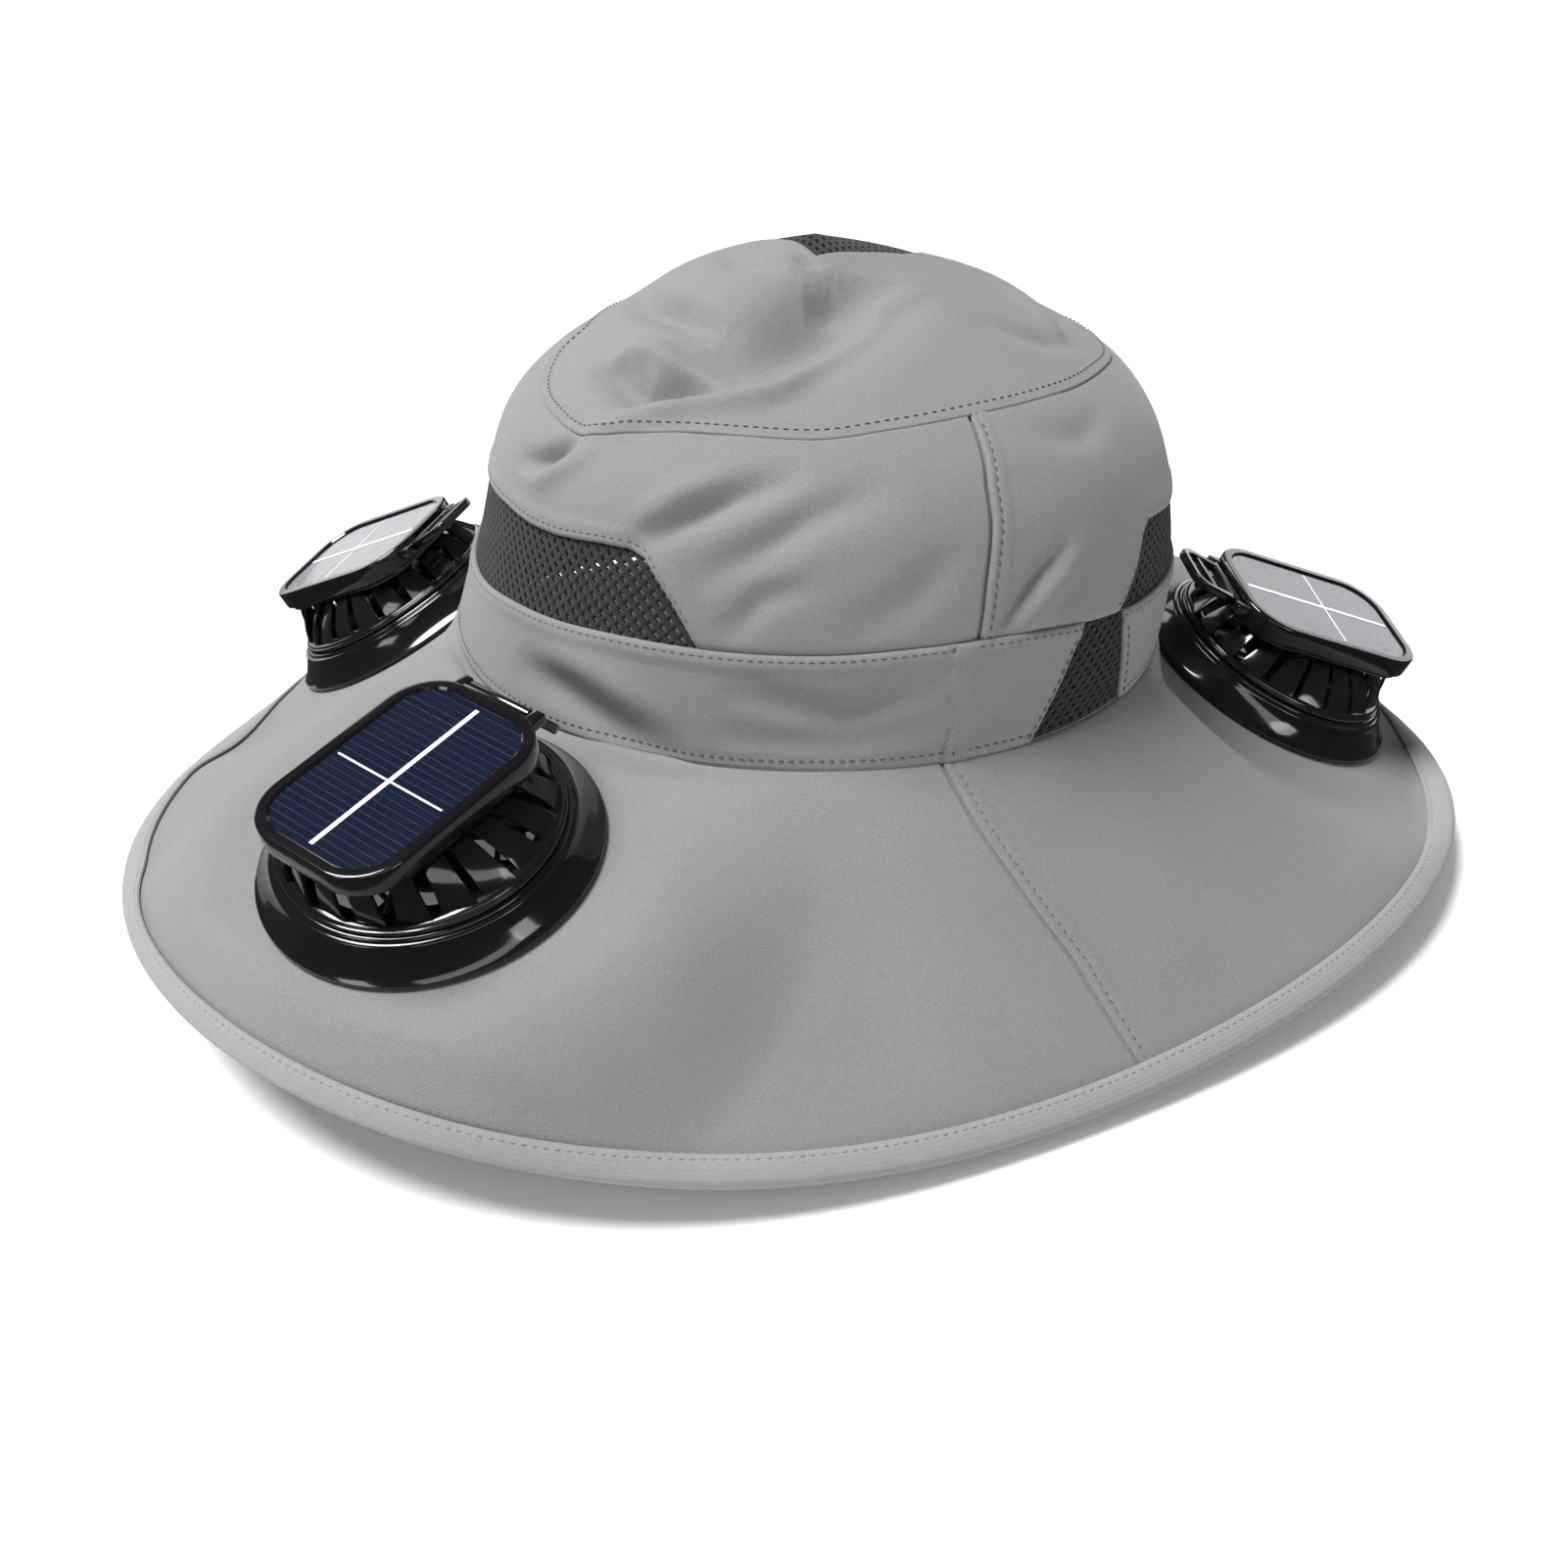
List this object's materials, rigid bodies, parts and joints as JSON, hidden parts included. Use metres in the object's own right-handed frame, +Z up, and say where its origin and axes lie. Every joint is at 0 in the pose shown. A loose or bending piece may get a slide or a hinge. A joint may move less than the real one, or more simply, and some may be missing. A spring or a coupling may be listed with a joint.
{
  "type": "solar fan hat",
  "caption": "Soft wide-brimmed sun hat with mesh vents in its crown and small solar fans standing on the brim.",
  "frame": {"origin": "centre of the hat's plan box, on the plane that the brim's lowest edge rests on", "axes": "+Z up through the crown, -Y towards the viewer of the picture, +X to the viewer's right"},
  "size_m": [0.3461, 0.3465, 0.1545],
  "materials": {
    "grey_cloth": "woven, matt",
    "binding_cloth": "folded tape, matt",
    "vent_mesh": "knitted mesh with round holes",
    "black_plastic": "polished",
    "solar_cell": "glossy, dark blue"
  },
  "bodies": {
    "hat": {"crown_wall": "grey_cloth", "crown_tip": "grey_cloth", "hat_band": "grey_cloth", "brim": "grey_cloth", "brim_binding": "binding_cloth", "mesh_vent_left": "vent_mesh", "mesh_vent_right": "vent_mesh", "mesh_vent_rear": "vent_mesh", "mesh_vent_band": "vent_mesh", "fan_flange_front": "black_plastic", "fan_guard_front": "black_plastic", "fan_cage_front": "black_plastic", "solar_bezel_front": "black_plastic", "solar_cell_front": "solar_cell", "fan_flange_right": "black_plastic", "fan_guard_right": "black_plastic", "fan_cage_right": "black_plastic", "solar_bezel_right": "black_plastic", "solar_cell_right": "solar_cell", "fan_flange_left": "black_plastic", "fan_guard_left": "black_plastic", "fan_cage_left": "black_plastic", "solar_bezel_left": "black_plastic", "solar_cell_left": "solar_cell"},
    "rotor_front": {"fan_rotor_front": "black_plastic"},
    "clip_front": {"fan_clip_front": "black_plastic"},
    "rotor_right": {"fan_rotor_right": "black_plastic"},
    "clip_right": {"fan_clip_right": "black_plastic"},
    "rotor_left": {"fan_rotor_left": "black_plastic"},
    "clip_left": {"fan_clip_left": "black_plastic"}
  },
  "joints": [
    {"name": "rotor_spin_front", "type": "hinge", "parent": "hat", "child": "rotor_front", "pos_m": [-0.08246, -0.11082, 0.04924], "axis": [-0.0976, -0.2542, 0.9622], "continuous": true},
    {"name": "clip_hinge_front", "type": "hinge", "parent": "hat", "child": "clip_front", "pos_m": [-0.06773, -0.09532, 0.07782], "axis": [0.7919, -0.6054, -0.0796], "range_deg": [-5, 145]},
    {"name": "rotor_spin_right", "type": "hinge", "parent": "hat", "child": "rotor_right", "pos_m": [0.12581, 0.01596, 0.02941], "axis": [0.4177, -0.1042, 0.9026], "continuous": true},
    {"name": "clip_hinge_right", "type": "hinge", "parent": "hat", "child": "clip_right", "pos_m": [0.11001, 0.00737, 0.06024], "axis": [-0.1621, 0.9689, 0.1868], "range_deg": [-70, 80]},
    {"name": "rotor_spin_left", "type": "hinge", "parent": "hat", "child": "rotor_left", "pos_m": [-0.1198, 0.04959, 0.03166], "axis": [-0.4969, 0.0087, 0.8678], "continuous": true},
    {"name": "clip_hinge_left", "type": "hinge", "parent": "hat", "child": "clip_left", "pos_m": [-0.10939, 0.03662, 0.06324], "axis": [-0.4116, -0.8827, -0.2269], "range_deg": [-70, 80]}
  ]
}
